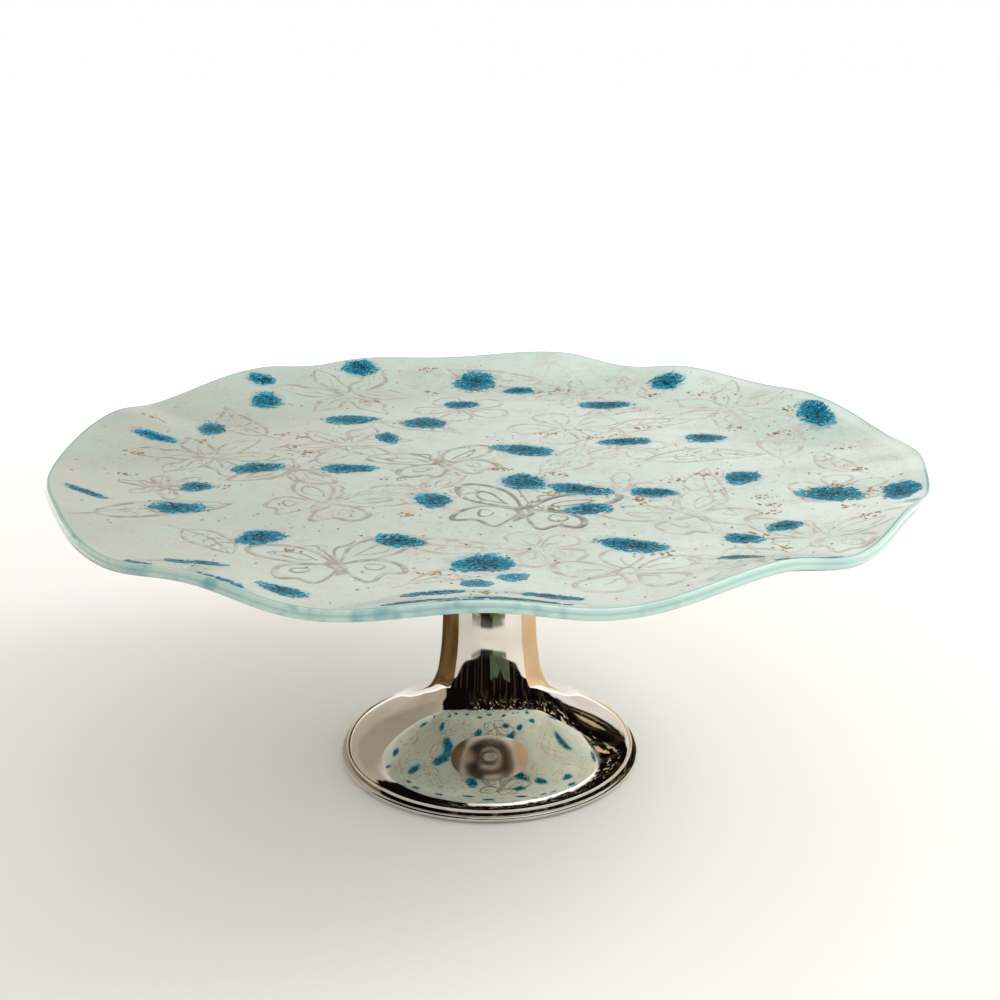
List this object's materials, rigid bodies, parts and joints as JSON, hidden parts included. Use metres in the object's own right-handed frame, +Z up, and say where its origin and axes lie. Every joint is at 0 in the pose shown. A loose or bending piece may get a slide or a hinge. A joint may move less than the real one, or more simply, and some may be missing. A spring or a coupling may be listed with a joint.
{
  "type": "pedestal cake stand",
  "caption": "Single-tier cake stand: a wavy-rimmed fused glass dish that screws onto a mirror-polished spun metal pedestal with a weighted foot.",
  "frame": {"origin": "on the table, under the middle of the stand", "axes": "+Z up along the pedestal's axis; +Y away from the side shown in front; +X to the right"},
  "size_m": [0.3515, 0.3545, 0.1425],
  "materials": {
    "fused_glass": "pale aqua fused glass with blue frit, fire-polished",
    "clear_adhesive": "cured clear adhesive",
    "clear_nylon": "natural nylon",
    "mirror_nickel": "mirror-polished nickel plate",
    "zinc_plate": "zinc-plated steel",
    "cast_iron": "as cast",
    "clear_rubber": "clear bumper rubber"
  },
  "bodies": {
    "pedestal": {"stem_cap": "mirror_nickel", "pedestal_shell": "mirror_nickel", "foot_ring": "mirror_nickel", "base_cover": "zinc_plate", "ballast_weight": "cast_iron", "foot_pad_1": "clear_rubber", "foot_pad_2": "clear_rubber", "foot_pad_3": "clear_rubber", "foot_pad_4": "clear_rubber", "tie_rod": "zinc_plate", "jam_nut": "zinc_plate", "rod_washer": "zinc_plate", "lock_washer": "zinc_plate", "rod_nut": "zinc_plate"},
    "seat": {"seat_washer": "clear_nylon"},
    "dish": {"glass_plate": "fused_glass", "bonding_pad": "clear_adhesive", "plate_disc": "mirror_nickel"}
  },
  "joints": [
    {"name": "dish_rise", "type": "slide", "parent": "pedestal", "child": "seat", "axis": [0, 0, 1], "range_m": [0, 0.006]},
    {"name": "dish_turn", "type": "hinge", "parent": "seat", "child": "dish", "pos_m": [0, 0, 0.1219], "axis": [0, 0, 1], "range_deg": [0, 1440]}
  ],
  "couplings": [
    {"joint": "dish_rise", "follows": "dish_turn", "m_per_rad": 0.00023873}
  ]
}
